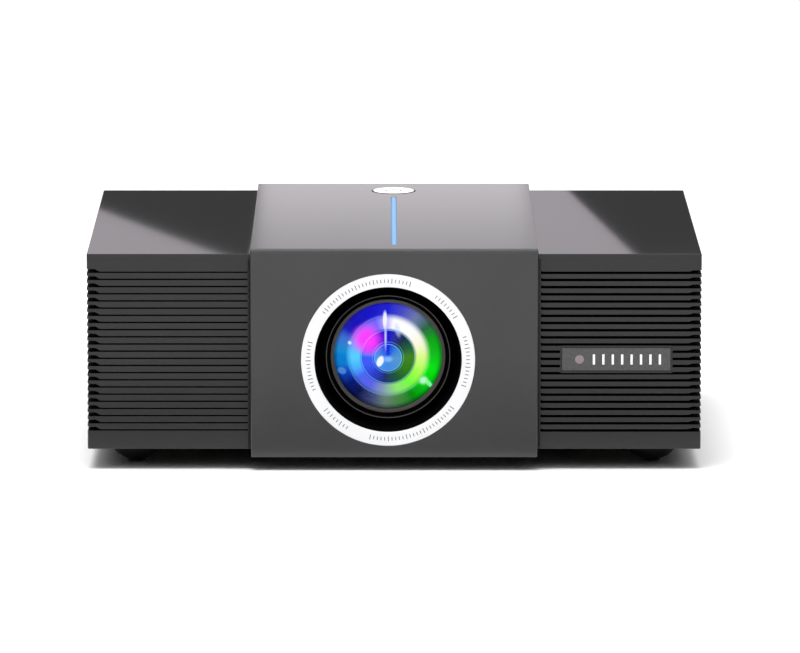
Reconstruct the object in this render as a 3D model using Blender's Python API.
"""Home projector: a raised centre band with the lens, between two louvred wings.

Run with: blender --background --python part.py
Lengths below are millimetres; the helpers turn them into metres.
X runs to the viewer's right when facing the lens, Y runs from the front to the back, Z is up.
The origin is on the table, under the middle of the object.
"""

from math import cos, pi, radians, sin

import bmesh
import bpy
from mathutils import Matrix, Vector

MM = 0.001

# ---- driving dimensions ----
WIDTH, DEPTH, HEIGHT = 300.0, 220.0, 109.5
BAND_WIDTH = 140.0
BAND_PROUD = 3.5          # the band stands this far outside the wings, all round
FOOT_HEIGHT = 10.0        # from the table to the wings' underside
WALL = 2.5
BAND_WALL = 3.0
GAP = 0.3                 # between neighbouring pieces
EDGE_RADIUS = 2.0

# Louvres: the slots start under the lid and run round the outer corner
SLOT_COUNT = 23
SLOT_PITCH = 3.55
FIRST_SLOT_BELOW_TOP = 8.7
FRONT_SLOT_HEIGHT, SIDE_SLOT_HEIGHT = 1.2, 1.85
SIDE_SLOT_REACH = 5.0     # how far the taller side slots show on the front
SLOT_END_AT_BAND = 1.5
SIDE_SLOT_BACK_MARGIN = 12.0
RIB_WIDTH, RIB_DEPTH = 2.0, 2.0
FRONT_RIBS = (108.0,)     # X of the upright ribs behind the front fins
SIDE_RIBS = (-4.0,)       # Y of those behind the side fins

# Lens
LENS_X, LENS_Z = -3.0, 54.7
TRIM_OUTER, TRIM_INNER = 42.5, 36.0
BARREL_RADIUS = 30.5
BARREL_RECESS = 9.5       # from the band's front to the barrel's rim
FOCUS_IN, FOCUS_OUT = 4.0, 6.0
FOCUS_SWEEP = 90.0        # turn of the focus ring for the whole travel, in degrees
CAM_PIN_RADIUS, CAM_SLOT_WIDTH = 1.5, 3.8
CAM_PIN_Y = -67.0
CAM_ANGLES = (0.0, 120.0, 240.0)

# Focus gears
GEAR_MODULE = 1.25
RING_TEETH, PINION_TEETH = 60, 12
GEAR_BACKLASH = 0.2       # added to the distance between the axes
PINION_ANGLE = 45.0       # from straight up, towards +X

# Top controls
BUTTON_RADIUS, BUTTON_Y, BUTTON_TRAVEL = 11.3, 85.0, 0.8
LIGHT_BAR_WIDTH, LIGHT_BAR_FRONT, LIGHT_BAR_BACK = 2.7, -95.6, 63.0

# Infrared window in the right wing
WINDOW_X, WINDOW_Z = (82.0, 135.0), (49.0, 60.0)
WINDOW_PROUD, WINDOW_DEPTH = 0.3, 1.3
SENSOR_X, SENSOR_Z = 90.5, 54.5

# Feet and tripod bush
FOOT_X, FRONT_FOOT_Y, REAR_FOOT_Y = 127.0, -81.5, 82.0
TRIPOD_RADIUS, TRIPOD_BUSH_RADIUS = 3.2, 6.0
TRIPOD_HOLE_RADIUS = 6.4
POST_X, POST_Y, POST_RADIUS = 138.0, 94.0, 3.8      # the lids' long posts, one in each corner
SCREW_RADIUS, SCREW_HEAD_RADIUS, SCREW_TIP = 1.1, 2.7, 24.0

# Fans
FAN_SIZE, FAN_THICKNESS, FAN_X, FAN_Y = 80.0, 15.0, 137.0, 45.0
BLADE_COUNT, BLADE_CHORD = 7, 15.0
FAN_BORE_RADIUS, FAN_HUB_RADIUS, BLADE_TIP_RADIUS = 38.0, 15.0, 36.8

# Light engine
ENGINE_X, ENGINE_Y, ENGINE_Z = (-62.0, 60.0), (-30.7, 100.0), (14.0, 95.0)
ENGINE_WALL = 2.5
PANEL_Y, PANEL_Z = (-8.5, 98.5), (21.0, 89.0)       # the LCD panel and the field lens in front of it
TUNNEL_X, TUNNEL_Y, TUNNEL_Z = (-98.0, -62.3), (-11.5, 101.5), (17.5, 92.5)
SINK_Y, SINK_Z = (5.0, 85.0), (15.0, 94.5)
SINK_FINS, SINK_FIN_PITCH, SINK_FIN_WIDTH = 13, 6.2, 2.0

# Circuit boards and sockets
BOARD_BOTTOM, BOARD_THICKNESS = 20.0, 1.6
SOCKET_FACE = 106.2       # Y of the sockets' mouths, just inside the back panel
SOCKETS = {
    # name: (middle x, low z, width, height)
    "hdmi_socket": (84.0, 21.9, 15.2, 6.0),
    "usb_socket": (103.0, 21.9, 13.2, 7.0),
    "audio_jack": (119.0, 21.9, 8.0, 8.0),
    "mains_inlet": (100.0, 52.0, 27.4, 20.0),
}

SINK_ROOT = 0.5           # how far a united piece sinks into the one that carries it
PAST = 40.0               # cutters for holes run this far, well past the walls they cut

# ---- derived positions ----
HALF_WIDTH, HALF_DEPTH, HALF_BAND = WIDTH / 2, DEPTH / 2, BAND_WIDTH / 2
WING_FRONT, WING_BACK = -HALF_DEPTH + BAND_PROUD, HALF_DEPTH - BAND_PROUD
WING_TOP, WING_BOTTOM = HEIGHT - BAND_PROUD, FOOT_HEIGHT
BAND_BOTTOM = FOOT_HEIGHT - BAND_PROUD
WING_INNER = HALF_BAND - 6.0                 # the wings' panels reach in under the band
LID_BOTTOM = WING_TOP - WALL
PANEL_TOP = LID_BOTTOM - GAP
FLOOR_TOP = WING_BOTTOM + WALL
BARREL_FRONT = -HALF_DEPTH + BARREL_RECESS
LENS_CENTRE = (LENS_X, 0.0, LENS_Z)
RING_PITCH_RADIUS = RING_TEETH * GEAR_MODULE / 2
PINION_PITCH_RADIUS = PINION_TEETH * GEAR_MODULE / 2
PINION_DISTANCE = RING_PITCH_RADIUS + PINION_PITCH_RADIUS + GEAR_BACKLASH
PINION_X = LENS_X + PINION_DISTANCE * sin(radians(PINION_ANGLE))
PINION_Z = LENS_Z + PINION_DISTANCE * cos(radians(PINION_ANGLE))
POST_PLACES = [(x, y) for x in (-POST_X, POST_X) for y in (-POST_Y, POST_Y)]
BOARD_TOP = BOARD_BOTTOM + BOARD_THICKNESS
TOWARDS = {
    "X": Matrix.Rotation(radians(90), 4, "Y"),
    "Y": Matrix.Rotation(radians(-90), 4, "X"),
    "Z": Matrix.Identity(4),
}


# ---- materials ----
def material(name, colour, roughness, metallic=0.0, alpha=1.0, glow=0.0):
    made = bpy.data.materials.new(name)
    made.use_nodes = True
    shader = made.node_tree.nodes["Principled BSDF"]
    shader.inputs["Base Color"].default_value = (*colour, 1)
    shader.inputs["Roughness"].default_value = roughness
    shader.inputs["Metallic"].default_value = metallic
    shader.inputs["Alpha"].default_value = alpha
    shader.inputs["Emission Color"].default_value = (*colour, 1)
    shader.inputs["Emission Strength"].default_value = glow
    made.diffuse_color = (*colour, 1)
    return made


def make_materials():
    return {
        "matt_grey": material("matt_grey_plastic", (0.07, 0.07, 0.07), 0.45),
        "fin_grey": material("louvre_plastic", (0.055, 0.055, 0.055), 0.4),
        "gloss_grey": material("gloss_lid_plastic", (0.045, 0.045, 0.047), 0.08),
        "black": material("black_plastic", (0.012, 0.012, 0.012), 0.45),
        "white": material("white_plastic", (0.86, 0.86, 0.86), 0.3),
        "window": material("window_plastic", (0.12, 0.12, 0.12), 0.15),
        "glow": material("light_guide_acrylic", (0.3, 0.6, 0.95), 0.2, glow=2.0),
        "glass": material("coated_glass", (0.55, 0.6, 0.9), 0.02, alpha=0.35),
        "mirror": material("mirror_glass", (0.9, 0.9, 0.9), 0.02, metallic=1.0),
        "lcd": material("lcd_glass", (0.06, 0.06, 0.08), 0.1),
        "rubber": material("foot_rubber", (0.02, 0.02, 0.02), 0.8),
        "steel": material("zinc_steel", (0.6, 0.6, 0.6), 0.3, metallic=1.0),
        "brass": material("brass", (0.75, 0.55, 0.25), 0.3, metallic=1.0),
        "alloy": material("extruded_aluminium", (0.75, 0.75, 0.77), 0.35, metallic=1.0),
        "board": material("green_circuit_board", (0.02, 0.16, 0.07), 0.4),
    }


# ---- mesh helpers ----
def new_object(name, mesh_data, finish, origin):
    """Makes a mesh object whose origin is the given point; the points of mesh_data are relative to it."""
    mesh_data.normal_update()
    bmesh.ops.recalc_face_normals(mesh_data, faces=mesh_data.faces)
    for vert in mesh_data.verts:
        vert.co *= MM
    mesh = bpy.data.meshes.new(name)
    mesh_data.to_mesh(mesh)
    mesh_data.free()
    mesh.materials.append(finish)
    made = bpy.data.objects.new(name, mesh)
    made.location = Vector(origin) * MM
    bpy.context.scene.collection.objects.link(made)
    return made


def add_box(mesh_data, low, high, origin=(0, 0, 0)):
    """Adds a box between two corners to a bmesh whose own origin is given."""
    low, high, origin = Vector(low), Vector(high), Vector(origin)
    size = high - low
    place = Matrix.Translation((low + high) / 2 - origin) @ Matrix.Diagonal((*size, 1))
    return bmesh.ops.create_cube(mesh_data, size=1.0, matrix=place)["verts"]


def box(name, low, high, finish):
    origin = (Vector(low) + Vector(high)) / 2
    mesh_data = bmesh.new()
    add_box(mesh_data, low, high, origin)
    return new_object(name, mesh_data, finish, origin)


def boxes(name, corners, finish, origin=(0, 0, 0)):
    """Several boxes that don't touch, in one object: a cutter, or ribs to be united with a wall."""
    mesh_data = bmesh.new()
    for low, high in corners:
        add_box(mesh_data, low, high, origin)
    return new_object(name, mesh_data, finish, origin)


def turned(name, profile, finish, centre, axis="Z", sides=24):
    """A turned piece. The profile's points are (height along the axis, radius) from the centre.

    It ends on the axis at both ends, or it is a closed loop round a bore.
    """
    mesh_data = bmesh.new()
    rings = []
    for height, radius in profile:
        if radius == 0:
            rings.append([mesh_data.verts.new((0, 0, height))])
            continue
        angles = [2 * pi * step / sides for step in range(sides)]
        rings.append([mesh_data.verts.new((radius * cos(a), radius * sin(a), height)) for a in angles])
    pairs = list(zip(rings, rings[1:]))
    if profile[0][1] > 0:
        pairs.append((rings[-1], rings[0]))
    for first, second in pairs:
        for step in range(sides):
            after = (step + 1) % sides
            corners = [first[step % len(first)], first[after % len(first)]]
            corners += [second[after % len(second)], second[step % len(second)]]
            face = [corner for i, corner in enumerate(corners) if corner not in corners[:i]]
            if len(face) > 2:
                mesh_data.faces.new(face)
    mesh_data.transform(TOWARDS[axis])
    made = new_object(name, mesh_data, finish, centre)
    made.data.shade_smooth()
    made.data.set_sharp_from_angle(angle=radians(35))
    return made


def rod(name, radius, low, high, finish, centre, axis="Z", sides=16):
    """A plain cylinder from low to high along the axis."""
    return turned(name, [(low, 0), (low, radius), (high, radius), (high, 0)], finish, centre, axis, sides)


def extruded(name, outline, low, high, finish, centre=(0, 0, 0), axis="Z"):
    """An outline of (x, y) points extruded along Z, then turned so that Z points along the axis."""
    mesh_data = bmesh.new()
    bottom = mesh_data.faces.new([mesh_data.verts.new((x, y, low)) for x, y in outline])
    raised = bmesh.ops.extrude_face_region(mesh_data, geom=[bottom])["geom"]
    moved = [item for item in raised if isinstance(item, bmesh.types.BMVert)]
    bmesh.ops.translate(mesh_data, vec=(0, 0, high - low), verts=moved)
    mesh_data.transform(TOWARDS[axis])
    return new_object(name, mesh_data, finish, centre)


def arc(centre_x, centre_y, radius, start, end, steps=5):
    """Points of an arc, from one angle to another in degrees."""
    angles = [radians(start + (end - start) * step / steps) for step in range(steps + 1)]
    return [(centre_x + radius * cos(a), centre_y + radius * sin(a)) for a in angles]


def boolean(target, tool, operation):
    change = target.modifiers.new(tool.name, "BOOLEAN")
    change.operation = operation
    change.object = tool
    tool.hide_render = True
    tool.display_type = "WIRE"


def cut(target, *tools):
    for tool in tools:
        boolean(target, tool, "DIFFERENCE")
    return target


def unite(target, *tools):
    for tool in tools:
        boolean(target, tool, "UNION")
    return target


def bevel(target, width, segments=2, angle=40.0):
    change = target.modifiers.new("edges", "BEVEL")
    change.width = width * MM
    change.segments = segments
    change.limit_method = "ANGLE"
    change.angle_limit = radians(angle)
    return target


# ---- casing ----
def make_lower_case(m):
    half_x, half_y = HALF_WIDTH - WALL - GAP, WING_BACK - WALL - GAP
    case = box("lower_case", (-half_x, -half_y, WING_BOTTOM), (half_x, half_y, FLOOR_TOP), m["black"])
    for side in (-1, 1):
        place = (side * FOOT_X, FRONT_FOOT_Y, 0)
        boss = rod(f"foot_boss_{side}", 6.0, FLOOR_TOP - 1, 24.0, m["black"], place)
        unite(case, boss)
        cut(case, rod(f"foot_hole_{side}", 3.4, 0, PAST, m["black"], place))
    pads = [standing_block(x, y, 4.0, ENGINE_Z[0] - GAP) for x in (-50, 48) for y in (-22, 90)]
    pads += [standing_block(x, y, 3.0, BOARD_BOTTOM - GAP) for x in (79, 112) for y in (-90, -4, 12, 86)]
    pads += [standing_block(-88, y, 4.0, TUNNEL_Z[0] - GAP) for y in (-4, 94)]
    unite(case, boxes("case_standoffs", pads, m["black"]))
    for number, (x, y) in enumerate(POST_PLACES):
        pocket_top = WING_BOTTOM + 1.8
        cut(case, rod(f"screw_pocket_{number}", 3.2, 0, pocket_top, m["black"], (x, y, 0), sides=12))
        cut(case, rod(f"screw_hole_{number}", 1.6, 0, PAST, m["black"], (x, y, 0), sides=8))
    cut(case, rod("tripod_clearance", TRIPOD_HOLE_RADIUS, 0, PAST, m["black"], (0, 0, 0)))
    return case


def standing_block(x, y, half, top):
    """Corners of a square pad on the tray's floor, for a board or a case to stand on."""
    return (x - half, y - half, FLOOR_TOP - 1), (x + half, y + half, top)


def slot_bottoms():
    """Heights of the slots' lower edges, from the top slot down."""
    top = WING_TOP - FIRST_SLOT_BELOW_TOP - FRONT_SLOT_HEIGHT / 2
    return [top - SLOT_PITCH * number for number in range(SLOT_COUNT)]


def make_grille(m, side):
    """A wrap-round moulding: front and outer side in one piece, with slots and upright ribs behind."""
    name = "left" if side < 0 else "right"
    outer, back = HALF_WIDTH, WING_BACK - WALL - GAP
    corner = arc(outer - EDGE_RADIUS, WING_FRONT + EDGE_RADIUS, EDGE_RADIUS, -90, 0, 4)
    outline = [(WING_INNER, WING_FRONT)] + corner
    outline += [(outer, back), (outer - WALL, back)]
    outline += [(outer - WALL, WING_FRONT + WALL), (WING_INNER, WING_FRONT + WALL)]
    outline = [(side * x, y) for x, y in outline]
    grille = extruded(f"{name}_grille", outline, WING_BOTTOM, PANEL_TOP, m["fin_grey"])

    front_start, front_end = HALF_BAND + SLOT_END_AT_BAND, outer - SIDE_SLOT_REACH
    front_slots, side_slots = [], []
    for bottom in slot_bottoms():
        runs = [(front_start, front_end + 0.5)]
        beside_window = side > 0 and WINDOW_Z[0] - 1 < bottom < WINDOW_Z[1]
        if beside_window:
            runs = [(front_start, WINDOW_X[0] - 1), (WINDOW_X[1] + 1, front_end + 0.5)]
        for start, end in runs:
            low, high = sorted((side * start, side * end))
            front_slots.append((
                (low, WING_FRONT - 1, bottom),
                (high, WING_FRONT + WALL + 1, bottom + FRONT_SLOT_HEIGHT),
            ))
        low, high = sorted((side * front_end, side * (outer + 1)))
        side_slots.append((
            (low, WING_FRONT - 1, bottom),
            (high, WING_BACK - SIDE_SLOT_BACK_MARGIN, bottom + SIDE_SLOT_HEIGHT),
        ))
    cut(grille, boxes(f"{name}_front_slots", front_slots, m["black"]))
    cut(grille, boxes(f"{name}_side_slots", side_slots, m["black"]))

    ribs = []
    rib_top, rib_bottom = slot_bottoms()[0] + 4, slot_bottoms()[-1] - 3
    for x in FRONT_RIBS:
        low, high = sorted((side * x, side * (x + RIB_WIDTH)))
        wall_back = WING_FRONT + WALL
        ribs.append(((low, wall_back - 0.4, rib_bottom), (high, wall_back + RIB_DEPTH, rib_top)))
    for y in SIDE_RIBS:
        low, high = sorted((side * (outer - WALL - RIB_DEPTH), side * (outer - WALL + 0.4)))
        ribs.append(((low, y, rib_bottom), (high, y + RIB_WIDTH, rib_top)))
    unite(grille, boxes(f"{name}_ribs", ribs, m["black"]))
    if side > 0:
        pocket_low = (WINDOW_X[0] - GAP, WING_FRONT - 1, WINDOW_Z[0] - GAP)
        pocket_high = (WINDOW_X[1] + GAP, WING_FRONT + WINDOW_DEPTH + GAP, WINDOW_Z[1] + GAP)
        cut(grille, box("window_pocket", pocket_low, pocket_high, m["black"]))
        cut(grille, rod("ir_hole", 2.6, -5, 5, m["black"], (SENSOR_X, WING_FRONT, SENSOR_Z), "Y"))
    return grille


def make_rear_panel(m, side):
    name = "left" if side < 0 else "right"
    low, high = sorted((side * WING_INNER, side * HALF_WIDTH))
    near, far = (low, WING_BACK - WALL, WING_BOTTOM), (high, WING_BACK, PANEL_TOP)
    panel = box(f"{name}_rear_panel", near, far, m["fin_grey"])
    if side > 0:
        windows = [socket_hole(place) for place in SOCKETS.values()]
        cut(panel, boxes("socket_holes", windows, m["black"]))
    return panel


def make_lid(m, side):
    """A glossy lid with a rounded rim and two long posts that take the case screws."""
    name = "left" if side < 0 else "right"
    low, high = sorted((side * WING_INNER, side * HALF_WIDTH))
    near, far = (low, WING_FRONT, LID_BOTTOM), (high, WING_BACK, WING_TOP)
    lid = box(f"{name}_top_cover", near, far, m["gloss_grey"])
    rim = lid.modifiers.new("rounded rim", "BEVEL")
    rim.width = (EDGE_RADIUS - GAP) * MM
    rim.segments = 3
    rim.limit_method = "WEIGHT"
    mark_rim(lid.data, side)
    for number, (x, y) in enumerate(POST_PLACES):
        if x * side < 0:
            continue
        foot, head = FLOOR_TOP + GAP, LID_BOTTOM + 1
        unite(lid, rod(f"post_{number}", POST_RADIUS, foot, head, m["black"], (x, y, 0), sides=12))
        cut(lid, rod(f"post_hole_{number}", 1.5, 0, SCREW_TIP + 4, m["black"], (x, y, 0), sides=8))
    return lid


def mark_rim(mesh, side):
    """Gives the lid's top edges a bevel weight, all but the one under the band."""
    weights = mesh.attributes.new("bevel_weight_edge", "FLOAT", "EDGE")
    for edge in mesh.edges:
        a, b = (mesh.vertices[index].co for index in edge.vertices)
        on_top = a.z > 0 and b.z > 0
        under_band = a.x * side < 0 and b.x * side < 0
        weights.data[edge.index].value = 1.0 if on_top and not under_band else 0.0


def make_band_cover(m):
    """Front and top of the band: one bent plate, with the lens hole, the button hole and the light slot."""
    front, top = -HALF_DEPTH, HEIGHT
    outline = [(front, BAND_BOTTOM), (front + BAND_WALL, BAND_BOTTOM), (front + BAND_WALL, top - BAND_WALL)]
    outline += [(HALF_DEPTH, top - BAND_WALL), (HALF_DEPTH, top)]
    outline += arc(front + EDGE_RADIUS, top - EDGE_RADIUS, EDGE_RADIUS, 90, 180, 5)
    cover = extrude_across("band_cover", outline, -HALF_BAND, HALF_BAND, m["matt_grey"])
    cut(cover, rod("lens_hole", TRIM_OUTER + GAP, -120, -100, m["black"], LENS_CENTRE, "Y", 48))
    cut(cover, rod("button_hole", BUTTON_RADIUS + 0.5, 90, 120, m["black"], (0, BUTTON_Y, 0), sides=32))
    half_bar = LIGHT_BAR_WIDTH / 2 + GAP
    slot_low, slot_high = (-half_bar, LIGHT_BAR_FRONT - GAP, 100), (half_bar, LIGHT_BAR_BACK + GAP, 120)
    cut(cover, box("light_slot", slot_low, slot_high, m["black"]))
    return cover


def extrude_across(name, outline, low, high, finish):
    """An outline of (y, z) points extruded along X."""
    mesh_data = bmesh.new()
    first = mesh_data.faces.new([mesh_data.verts.new((low, y, z)) for y, z in outline])
    raised = bmesh.ops.extrude_face_region(mesh_data, geom=[first])["geom"]
    moved = [item for item in raised if isinstance(item, bmesh.types.BMVert)]
    bmesh.ops.translate(mesh_data, vec=(high - low, 0, 0), verts=moved)
    return new_object(name, mesh_data, finish, (0, 0, 0))


def make_band_base(m):
    """Underside and back of the band."""
    front, top = -HALF_DEPTH + BAND_WALL + GAP, HEIGHT - BAND_WALL - GAP
    floor_top = FOOT_HEIGHT - GAP
    outline = [(front, BAND_BOTTOM), (HALF_DEPTH, BAND_BOTTOM), (HALF_DEPTH, top)]
    outline += [(HALF_DEPTH - BAND_WALL, top), (HALF_DEPTH - BAND_WALL, floor_top), (front, floor_top)]
    base = extrude_across("band_base", outline, -HALF_BAND, HALF_BAND, m["matt_grey"])
    return cut(base, rod("tripod_hole", TRIPOD_HOLE_RADIUS, 0, PAST, m["black"], (0, 0, 0)))


def make_lens_surround(m):
    front = -HALF_DEPTH
    back = front + BAND_WALL - GAP
    trim = [(front, TRIM_INNER), (front, TRIM_OUTER), (back, TRIM_OUTER), (back, TRIM_INNER)]
    turned("lens_trim_ring", trim, m["white"], LENS_CENTRE, "Y", 48)
    flange, tube_back = front + BAND_WALL + GAP, -84.0
    shroud = [(flange, 35.7), (flange, 44.0), (flange + 1.5, 44.0), (flange + 1.5, 37.5)]
    shroud += [(tube_back, 37.5), (tube_back, BARREL_RADIUS + 0.7), (tube_back - 2, BARREL_RADIUS + 0.7)]
    shroud += [(tube_back - 2, 33.5), (tube_back - 9, 33.5), (tube_back - 9, 35.7)]
    turned("lens_shroud", shroud, m["black"], LENS_CENTRE, "Y", 32)


def make_top_controls(m):
    high = HEIGHT
    button = [(102.4, 0), (102.4, 2.5), (104.6, 2.5), (104.6, BUTTON_RADIUS + 1.3)]
    button += [(106.2, BUTTON_RADIUS + 1.3), (106.2, BUTTON_RADIUS)]
    button += [(high - 0.4, BUTTON_RADIUS), (high, BUTTON_RADIUS - 0.4), (high, 0)]
    turned("power_button", button, m["white"], (0, BUTTON_Y, 0), "Z", 32)
    half = LIGHT_BAR_WIDTH / 2
    low, flange_low, flange_high, reach = 101.5, 104.2, 106.2, 3.0
    right = [(half, low), (half, flange_low), (reach, flange_low)]
    right += [(reach, flange_high), (half, flange_high), (half, high)]
    outline = right + [(-x, z) for x, z in reversed(right)]
    outline = [(x, -z) for x, z in reversed(outline)]
    extruded("light_guide", outline, LIGHT_BAR_FRONT, LIGHT_BAR_BACK, m["glow"], axis="Y")


def make_ir_window(m):
    front = WING_FRONT - WINDOW_PROUD
    low, high = (WINDOW_X[0], front, WINDOW_Z[0]), (WINDOW_X[1], WING_FRONT + WINDOW_DEPTH, WINDOW_Z[1])
    bevel(box("ir_window", low, high, m["window"]), 0.25)
    sensor = box("ir_receiver_board", (84, -101.6, 44), (97, -100, 64), m["board"])
    unite(sensor, box("ir_sensor_body", (88, -103.6, 51.5), (93, -101, 57.5), m["black"]))


def make_case_screws(m):
    head_low, head_high = WING_BOTTOM + 0.2, WING_BOTTOM + 1.5
    profile = [(head_low, 0), (head_low, SCREW_HEAD_RADIUS), (head_high, SCREW_HEAD_RADIUS)]
    profile += [(head_high, SCREW_RADIUS), (SCREW_TIP - 1, SCREW_RADIUS), (SCREW_TIP, 0)]
    for number, (x, y) in enumerate(POST_PLACES, 1):
        screw = turned(f"case_screw_{number}", profile, m["steel"], (x, y, 0), "Z", 10)
        bars = [((x - 1.6, y - 0.35, 0), (x + 1.6, y + 0.35, head_low + 0.8))]
        cut(screw, boxes(f"screw_slot_{number}", bars, m["black"]))


# ---- feet ----
def make_feet(m):
    for side in (-1, 1):
        name = "left" if side < 0 else "right"
        place = (side * FOOT_X, FRONT_FOOT_Y, 0)
        screw = [(3.4, 0), (3.4, 2.4), (1.4, 2.4), (1.4, 5.0), (4.0, 7.6), (4.4, 8.6), (7.6, 11.6)]
        screw += [(8.2, 13.0), (9.5, 13.0), (9.5, 3.0), (26.0, 3.0), (27.0, 2.0), (27.0, 0)]
        turned(f"front_{name}_foot", screw, m["black"], place, "Z", 24)
        pad = [(0, 0), (0, 4.0), (1.1, 4.2), (1.1, 2.0), (3.0, 2.0), (3.0, 0)]
        turned(f"front_{name}_foot_pad", pad, m["rubber"], place, "Z", 16)
        rear = [(0, 0), (0, 7.0), (1.0, 8.0), (8.5, 9.0), (FOOT_HEIGHT - GAP, 9.0), (FOOT_HEIGHT - GAP, 0)]
        turned(f"rear_{name}_foot", rear, m["rubber"], (side * FOOT_X, REAR_FOOT_Y, 0), "Z", 20)
    bush = [(BAND_BOTTOM, TRIPOD_RADIUS), (BAND_BOTTOM, TRIPOD_BUSH_RADIUS)]
    bush += [(13.5, TRIPOD_BUSH_RADIUS), (13.5, TRIPOD_RADIUS)]
    turned("tripod_insert", bush, m["brass"], (0, 0, 0), "Z", 20)


# ---- projection lens and focus drive ----
def around_lens(angle, radius, y):
    """A point at an angle from straight up (towards +X) and a radius from the lens axis."""
    return (radius * sin(radians(angle)), y, radius * cos(radians(angle)))


def radial_boxes(name, angles, radii, half_width, y_low, y_high, finish):
    """Boxes that stand out from the lens axis at the given angles."""
    mesh_data = bmesh.new()
    for angle in angles:
        verts = add_box(mesh_data, (-half_width, y_low, radii[0]), (half_width, y_high, radii[1]))
        bmesh.ops.rotate(mesh_data, verts=verts, matrix=Matrix.Rotation(radians(angle), 3, "Y"))
    return new_object(name, mesh_data, finish, LENS_CENTRE)


def make_lens(m):
    front = BARREL_FRONT
    barrel = [(front, 29.0), (front, BARREL_RADIUS), (-28, BARREL_RADIUS), (-28, 26.0), (-40, 26.0)]
    barrel += [(-40, 22.0), (-60, 22.0), (-60, 25.0), (-86, 25.0), (-86, 28.4), (front + 1, 28.4)]
    tube = turned("lens_barrel", barrel, m["black"], LENS_CENTRE, "Y", 36)
    for angle in CAM_ANGLES:
        pin = rod(f"cam_pin_{angle:.0f}", CAM_PIN_RADIUS, 27, 35.6, m["steel"], (0, 0, 0), "Z", 10)
        turn = Matrix.Rotation(radians(angle), 4, "Y")
        pin.matrix_world = Matrix.Translation(Vector((LENS_X, CAM_PIN_Y, LENS_Z)) * MM) @ turn
        unite(tube, pin)

    ring = [(front + 2.3, 26.25), (front + 2.3, 28.1), (front + 4.9, 28.1), (front + 4.9, 26.9)]
    turned("lens_retaining_ring", ring, m["black"], LENS_CENTRE, "Y", 36)
    front_lens = dome(28.1, -94.7, -4.2) + [(-86.3, 28.1), (-86.3, 0)]
    turned("front_lens", front_lens, m["glass"], LENS_CENTRE, "Y", 36)
    middle = dome(24.7, -66.0, 2.0) + [(-60.3, 24.7)] + list(reversed(dome(21.0, -60.3, -1.5)))
    turned("middle_lens", middle, m["glass"], LENS_CENTRE, "Y", 24)
    rear = [(-39.7, 0), (-39.7, 25.7)] + list(reversed(dome(25.7, -33.0, 3.0)))
    turned("rear_lens", rear, m["glass"], LENS_CENTRE, "Y", 24)


def dome(radius, edge, height, steps=4):
    """Profile of a lens face from the axis out to its edge; height is how far its middle stands off."""
    places = [step / steps for step in range(steps + 1)]
    return [(edge + height * (1 - place * place), radius * place) for place in places]


def make_lens_mount(m):
    mount = [(-80, 30.9), (-80, 36.0), (-76.4, 36.0), (-76.4, 34.0), (-51.6, 34.0), (-51.6, 36.5)]
    mount += [(-34, 36.5), (-34, 36.8), (-31, 36.8), (-31, 30.9)]
    tube = turned("lens_mount", mount, m["black"], LENS_CENTRE, "Y", 36)
    ears = [((LENS_X - 46, -34, LENS_Z - 9), (LENS_X - 35, -31, LENS_Z + 9))]
    ears.append(((LENS_X + 35, -34, LENS_Z - 9), (LENS_X + 46, -31, LENS_Z + 9)))
    unite(tube, boxes("mount_ears", ears, m["black"]))
    low = CAM_PIN_Y - FOCUS_OUT - CAM_SLOT_WIDTH / 2
    high = CAM_PIN_Y + FOCUS_IN + CAM_SLOT_WIDTH / 2
    slots = radial_boxes("mount_slots", CAM_ANGLES, (28, 38), CAM_SLOT_WIDTH / 2, low, high, m["black"])
    return cut(tube, slots)


def gear_outline(teeth, first_tooth, made=None):
    """Outline of a gear with straight-sided teeth, or of the first few of them.

    first_tooth is the angle of a tooth's middle, in radians.
    """
    pitch_radius = teeth * GEAR_MODULE / 2
    tip, root, step = pitch_radius + 0.85 * GEAR_MODULE, pitch_radius - 1.15 * GEAR_MODULE, 2 * pi / teeth
    flank = ((root, 0.31), (pitch_radius, 0.22), (tip, 0.10))     # radius, half width as a part of the pitch
    tooth = [(radius, -part) for radius, part in flank] + list(reversed(flank))
    points = []
    for number in range(made or teeth):
        middle = first_tooth + number * step
        points += [(r * cos(middle + part * step), r * sin(middle + part * step)) for r, part in tooth]
    return points


def sector_outline(mesh_angle):
    """The focus ring's toothed sector: only the teeth that the pinion reaches, and two spare at each end."""
    step = 2 * pi / RING_TEETH
    reach = FOCUS_SWEEP / (FOCUS_OUT + FOCUS_IN)
    before = int(radians(FOCUS_IN * reach) / step) + 3
    after = int(radians(FOCUS_OUT * reach) / step) + 3
    first_tooth = mesh_angle + step / 2 - before * step
    outline = gear_outline(RING_TEETH, first_tooth, before + after)
    first, last = first_tooth - step / 2, first_tooth + (before + after - 0.5) * step
    inner_radius, pieces = 35.2, 10
    angles = [last + (first - last) * piece / pieces for piece in range(pieces + 1)]
    return outline + [(inner_radius * cos(angle), inner_radius * sin(angle)) for angle in angles]


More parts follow.
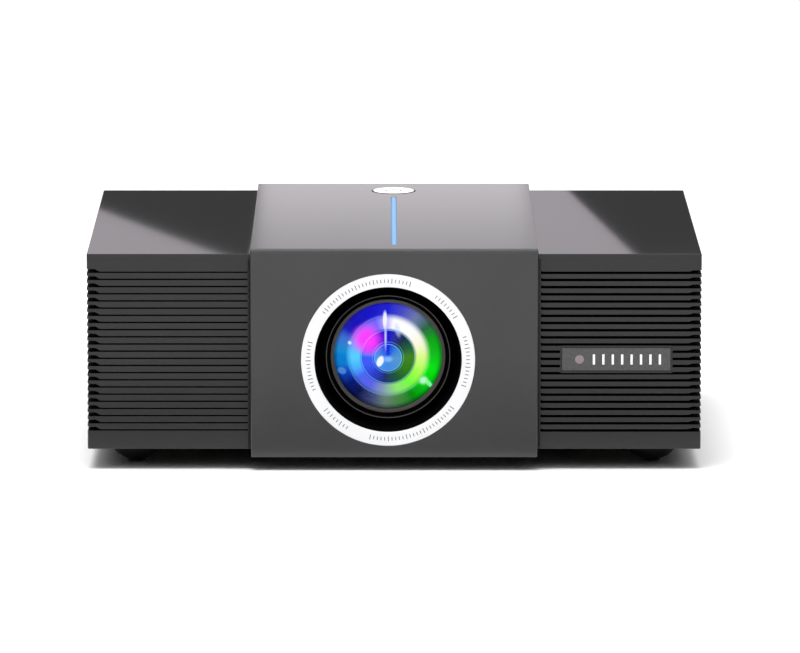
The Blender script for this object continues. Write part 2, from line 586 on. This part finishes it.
def helix_slots(name, finish):
    """Cutters for the cam slots: as the ring turns by an angle, the pin moves along Y in proportion."""
    travel = FOCUS_OUT + FOCUS_IN
    per_degree = travel / FOCUS_SWEEP
    low_turn, high_turn = -FOCUS_IN / per_degree, FOCUS_OUT / per_degree
    end_margin = (CAM_SLOT_WIDTH / 2 / 35.0) * 180 / pi
    steps = 8
    half = CAM_SLOT_WIDTH / 2
    mesh_data = bmesh.new()
    for start in CAM_ANGLES:
        sections = []
        for step in range(steps + 1):
            turn = low_turn - end_margin + (high_turn - low_turn + 2 * end_margin) * step / steps
            middle = CAM_PIN_Y - turn * per_degree
            corners = ((33.5, -half), (38.0, -half), (38.0, half), (33.5, half))
            points = [around_lens(start - turn, radius, middle + offset) for radius, offset in corners]
            sections.append([mesh_data.verts.new(point) for point in points])
        mesh_data.faces.new(sections[0])
        mesh_data.faces.new(sections[-1])
        for first, second in zip(sections, sections[1:]):
            for corner in range(4):
                after = (corner + 1) % 4
                mesh_data.faces.new([first[corner], first[after], second[after], second[corner]])
    return new_object(name, mesh_data, finish, LENS_CENTRE)


def make_focus_drive(m):
    sleeve = [(-76, 34.4), (-76, 36.0), (-52, 36.0), (-52, 34.4)]
    ring = turned("focus_ring", sleeve, m["white"], LENS_CENTRE, "Y", 36)
    # Seen along Y, the extruded outline's y axis points down: an angle from straight up is 90 degrees more
    mesh_angle = radians(PINION_ANGLE - 90)
    outline = sector_outline(mesh_angle)
    teeth = extruded("ring_teeth", outline, -60, -52.0, m["white"], LENS_CENTRE, "Y")
    unite(ring, teeth)
    cut(ring, helix_slots("cam_slots", m["black"]))

    centre = (PINION_X, 0, PINION_Z)
    outline = gear_outline(PINION_TEETH, mesh_angle + pi)
    pinion = extruded("motor_pinion", outline, -61.0, -51.0, m["brass"], centre, "Y")
    unite(pinion, rod("pinion_shaft", 1.5, -52, -38, m["steel"], centre, "Y", 10))
    motor = [(-31.4, 0), (-31.4, 7.8), (-44.3, 7.8), (-44.3, 3.4)]
    motor += [(-45.5, 3.4), (-45.5, 1.9), (-36, 1.9), (-36, 0)]
    turned("focus_motor", motor, m["steel"], centre, "Y", 20)


# ---- light engine ----
def make_engine(m):
    (x0, x1), (y0, y1), (z0, z1) = ENGINE_X, ENGINE_Y, ENGINE_Z
    case = box("engine_case", (x0, y0, z0), (x1, y1, z1), m["black"])
    hollow_low = Vector((x0, y0, z0)) + Vector((1, 1, 1)) * ENGINE_WALL
    hollow_high = (x1 - ENGINE_WALL, y1 - ENGINE_WALL, z1 + PAST)
    cut(case, box("engine_hollow", hollow_low, hollow_high, m["black"]))
    cut(case, rod("engine_lens_hole", 31.4, -40, -20, m["black"], LENS_CENTRE, "Y"))
    (y2, y3), (z2, z3) = PANEL_Y, PANEL_Z
    cut(case, box("engine_side_window", (x0 - 8, y2 + 2.5, z2 + 2), (x0 + 7, y3 - 2.5, z3 - 2), m["black"]))
    bevel(box("engine_lid", (x0, y0, z1 + GAP), (x1, y1, z1 + GAP + 2), m["black"]), 0.5, 1)
    mirror = box("fold_mirror", (LENS_X - 54, 44, 18.5), (LENS_X + 54, 46, 92.5), m["mirror"])
    mirror.rotation_euler.z = radians(-45)
    box("lcd_panel", (-66, y2, z2), (-63, y3, z3), m["lcd"])
    box("field_lens", (-72, y2, z2), (-70, y3, z3), m["glass"])
    (x0, x1), (y0, y1), (z0, z1) = TUNNEL_X, TUNNEL_Y, TUNNEL_Z
    tunnel = box("lamp_tunnel", (x0, y0, z0), (x1, y1, z1), m["black"])
    hollow_low = (x0 - 12, y0 + ENGINE_WALL, z0 + ENGINE_WALL)
    hollow_high = (x1 + 12, y1 - ENGINE_WALL, z1 - ENGINE_WALL)
    cut(tunnel, box("tunnel_hollow", hollow_low, hollow_high, m["black"]))
    light_axis = (0, FAN_Y, LENS_Z)
    lens = [(-92, 0), (-92, 30.0), (-88, 30.0)] + list(reversed(dome(30.0, -88, 10.0)))
    turned("condenser_lens", lens, m["glass"], light_axis, "X", 24)
    board = box("led_board", (-100.3, -5, 20), (-98.3, 95, 90), m["alloy"])
    unite(board, box("led_chip", (-99, FAN_Y - 8, LENS_Z - 5), (-97, FAN_Y + 8, LENS_Z + 5), m["white"]))
    (y0, y1), (z0, z1) = SINK_Y, SINK_Z
    sink = box("heat_sink", (-105, y0, z0), (-100.6, y1, z1), m["alloy"])
    places = [y0 + SINK_FIN_PITCH * number for number in range(SINK_FINS)]
    fins = [((-126, y, z0), (-105 + SINK_ROOT, y + SINK_FIN_WIDTH, z1)) for y in places]
    unite(sink, boxes("sink_fins", fins, m["alloy"]))


# ---- cooling and sound ----
def blade_mesh(hub_radius, tip_radius, side):
    """Twisted fan blades round the X axis."""
    mesh_data = bmesh.new()
    span_steps = 2
    for number in range(BLADE_COUNT):
        around = Matrix.Rotation(2 * pi * number / BLADE_COUNT, 3, "X")
        sections = []
        for step in range(span_steps + 1):
            part = step / span_steps
            radius = hub_radius - 1.5 + (tip_radius - hub_radius + 1.5) * part
            pitch = radians(40 - 14 * part)
            half = BLADE_CHORD / 2 * (0.75 + 0.25 * part)
            along = Vector((sin(pitch) * 0.62 * side, cos(pitch), 0))
            thick = Vector((cos(pitch), -sin(pitch) * side, 0)) * 0.6
            reach = half * along
            corners = (-reach - thick, reach - thick, reach + thick, -reach + thick)
            outward = Vector((0, 0, radius))
            sections.append([mesh_data.verts.new(around @ (corner + outward)) for corner in corners])
        mesh_data.faces.new(sections[0])
        mesh_data.faces.new(sections[-1])
        for first, second in zip(sections, sections[1:]):
            for corner in range(4):
                after = (corner + 1) % 4
                mesh_data.faces.new([first[corner], first[after], second[after], second[corner]])
    return mesh_data


def make_fan(m, side):
    name = "left" if side < 0 else "right"
    centre = (side * FAN_X, FAN_Y, LENS_Z)
    half, deep = FAN_SIZE / 2, FAN_THICKNESS / 2
    low = Vector(centre) - Vector((deep, half, half))
    high = Vector(centre) + Vector((deep, half, half))
    frame = box(f"{name}_fan_frame", low, high, m["black"])
    cut(frame, rod(f"{name}_fan_bore", FAN_BORE_RADIUS, -20, 20, m["black"], centre, "X", 32))
    hub_low, hub_high = sorted((side * (deep - 0.1), side * (deep - 2.1)))
    unite(frame, rod(f"{name}_fan_plate", 14.0, hub_low, hub_high, m["black"], centre, "X", 20))
    for number, (angle, thickness) in enumerate(((45, 1.6), (135, 1.2))):
        reach = FAN_BORE_RADIUS + 1
        ends = (-thickness / 2, -reach, -1.5), (thickness / 2, reach, 1.5)
        strut = box(f"{name}_strut_{number}", *ends, m["black"])
        middle = Vector(((hub_low + hub_high) / 2 + centre[0], centre[1], centre[2])) * MM
        strut.matrix_world = Matrix.Translation(middle) @ Matrix.Rotation(radians(angle), 4, "X")
        unite(frame, strut)
    hub_ends = sorted((side * (deep - 2.6), side * -(deep - 1.0)))
    rotor = rod(f"{name}_fan_rotor", FAN_HUB_RADIUS, *hub_ends, m["black"], centre, "X", 20)
    blade_data = blade_mesh(FAN_HUB_RADIUS, BLADE_TIP_RADIUS, side)
    blades = new_object(f"{name}_blades", blade_data, m["black"], centre)
    blades.location.x -= side * 0.8 * MM
    unite(rotor, blades)


def make_speaker(m, side):
    name = "left" if side < 0 else "right"
    profile = [(0, 0), (0, 15), (9, 15), (11, 17), (20, 24), (20, 26), (22, 26), (22, 22.5), (19.5, 21.5)]
    profile += [(12, 6), (14.5, 4), (15.5, 0)]
    profile = [(side * height, radius) for height, radius in profile]
    turned(f"{name}_speaker", profile, m["black"], (side * 122.5, -50, 55), "X", 20)


# ---- electronics ----
def socket_hole(place):
    x, z, width, height = place
    half = width / 2 + 0.4
    return ((x - half, WING_BACK - WALL - 2, z - 0.4), (x + half, WING_BACK + 2, z + height + 0.4))


def socket_shell(name, back, finish):
    """A socket's block from its back to its face; also gives the middle x, the low z and the height."""
    x, z, width, height = SOCKETS[name]
    low, high = (x - width / 2, back, z), (x + width / 2, SOCKET_FACE, z + height)
    return box(name, low, high, finish), x, z, height


def mouth(name, x, half, depth, low_z, high_z, finish):
    """A cutter for a socket's mouth."""
    return box(name, (x - half, SOCKET_FACE - depth, low_z), (x + half, 120, high_z), finish)


def tongue(name, x, half, root, low_z, high_z, finish):
    """A contact tongue that stands out from the back of a socket's mouth."""
    return box(name, (x - half, SOCKET_FACE - root, low_z), (x + half, SOCKET_FACE - 1, high_z), finish)


def make_sockets(m):
    hdmi, x, z, height = socket_shell("hdmi_socket", 91, m["steel"])
    cut(hdmi, mouth("hdmi_mouth", x, 7, 9, z + 0.7, z + height - 0.7, m["black"]))
    unite(hdmi, tongue("hdmi_tongue", x, 5.5, 10, z + 2.6, z + 3.5, m["black"]))

    usb, x, z, height = socket_shell("usb_socket", 91, m["steel"])
    cut(usb, mouth("usb_mouth", x, 6, 12, z + 1, z + height - 1, m["black"]))
    unite(usb, tongue("usb_tongue", x, 5.4, 13, z + 3.9, z + 5.5, m["white"]))

    jack, x, z, height = socket_shell("audio_jack", 93, m["black"])
    cut(jack, rod("jack_hole", 1.8, -12, 5, m["black"], (x, SOCKET_FACE, z + height / 2), "Y", 12))

    inlet, x, z, height = socket_shell("mains_inlet", 86, m["black"])
    middle = z + height / 2
    cut(inlet, mouth("inlet_recess", x, 12, 16, middle - 8.2, middle + 8.2, m["black"]))
    root, tip = SOCKET_FACE - 17, SOCKET_FACE - 3
    places = [(x + dx, middle + dz) for dx, dz in ((-7, 0), (7, 0), (0, 4))]
    pins = [((px - 1, root, pz - 2), (px + 1, tip, pz + 2)) for px, pz in places]
    unite(inlet, boxes("inlet_pins", pins, m["steel"]))


def make_boards(m):
    root = BOARD_TOP - SINK_ROOT
    main = box("main_board", (75, 8, BOARD_BOTTOM), (127, 98, BOARD_TOP), m["board"])
    chips = [((84, 30, root), (102, 48, 23.4)), ((106, 30, root), (118, 42, 22.8))]
    chips += [((80 + 9 * n, 12, root), (85 + 9 * n, 20, 28)) for n in range(5)]
    unite(main, boxes("main_board_parts", chips, m["black"]))
    supply = box("power_supply_board", (75, -95, BOARD_BOTTOM), (116, 2, BOARD_TOP), m["board"])
    parts = [((80, -40, root), (110, -10, 46)), ((80, -62, root), (86, -46, 40))]
    parts += [((92, -62, root), (112, -46, 38))]
    unite(supply, boxes("supply_parts", parts, m["black"]))
    unite(supply, rod("supply_capacitor", 8.0, root, 50, m["black"], (92, -78, 0), sides=24))
    top = box("top_board", (-9, -97, 98), (9, 97, 99.6), m["board"])
    switch = [((-3, BUTTON_Y - 3, 99.2), (3, BUTTON_Y + 3, 101.4))]
    lamps = [((-1.5, y - 1.5, 99.2), (1.5, y + 1.5, 100.6)) for y in range(-88, 64, 18)]
    unite(top, boxes("top_board_parts", switch + lamps, m["white"]))


def main():
    for old in list(bpy.data.objects):
        bpy.data.objects.remove(old)
    m = make_materials()
    make_lower_case(m)
    for side in (-1, 1):
        make_grille(m, side)
        make_rear_panel(m, side)
        make_lid(m, side)
        make_fan(m, side)
        make_speaker(m, side)
    make_band_cover(m)
    make_band_base(m)
    make_lens_surround(m)
    make_top_controls(m)
    make_ir_window(m)
    make_case_screws(m)
    make_feet(m)
    make_lens(m)
    make_lens_mount(m)
    make_focus_drive(m)
    make_engine(m)
    make_sockets(m)
    make_boards(m)


main()
